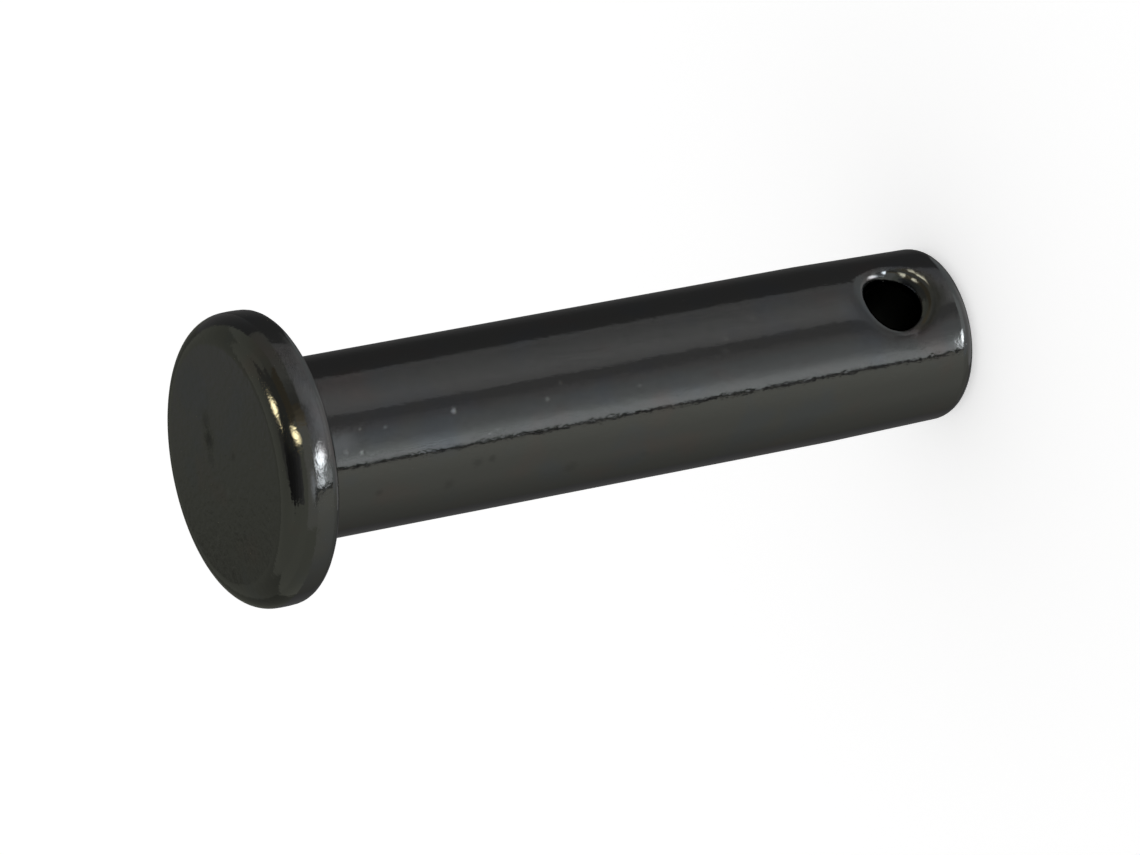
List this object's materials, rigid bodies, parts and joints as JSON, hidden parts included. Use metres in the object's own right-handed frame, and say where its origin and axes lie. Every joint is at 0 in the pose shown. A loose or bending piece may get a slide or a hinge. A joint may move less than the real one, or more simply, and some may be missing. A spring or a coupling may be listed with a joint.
{
  "type": "clevis pin",
  "caption": "Solid steel clevis pin with a flat round head and rounded rim, a straight shank, a slightly tapered rounded end and a cross hole for a split pin.",
  "frame": {"origin": "centre of the free end's flat face, on which the pin stands", "axes": "+Z along the pin from the free end up to the head; the cross hole runs along Y, and the mouth that the picture shows faces -Y"},
  "size_m": [0.0128, 0.0128, 0.0354],
  "materials": {
    "pin_steel": "dark bright-drawn steel with a thin plated skin, tumbled, semi-gloss"
  },
  "bodies": {
    "root": {"clevis_pin": "pin_steel"}
  },
  "joints": []
}
